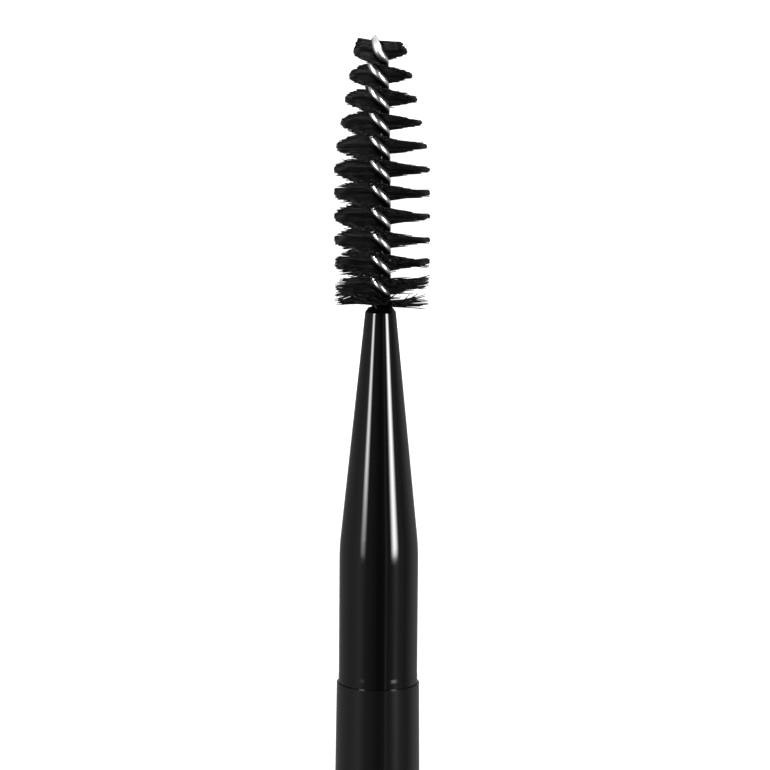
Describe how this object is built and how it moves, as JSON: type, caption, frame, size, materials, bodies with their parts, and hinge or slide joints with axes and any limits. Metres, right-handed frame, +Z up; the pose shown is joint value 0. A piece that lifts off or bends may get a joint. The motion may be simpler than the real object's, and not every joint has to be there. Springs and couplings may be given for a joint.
{
  "type": "eyebrow brush",
  "caption": "Slim eyebrow brush with a round handle, a tapered glossy ferrule and a spiral head of short black filaments held in a twisted wire.",
  "frame": {"origin": "on the table that the brush lies on, under the middle of its length and of its width", "axes": "+X along the brush from the handle's tail to the tip of the head, +Z up from the table, +Y level across the brush"},
  "size_m": [0.1544, 0.008, 0.008],
  "materials": {
    "handle_lacquer": "satin black lacquer on turned wood",
    "ferrule_lacquer": "gloss black lacquer on turned aluminium",
    "wire": "bright drawn steel wire",
    "filament": "matt black nylon filament"
  },
  "bodies": {
    "root": {"handle": "handle_lacquer", "ferrule": "ferrule_lacquer", "wire_strand_a": "wire", "wire_strand_b": "wire", "bristles": "filament"}
  },
  "joints": []
}
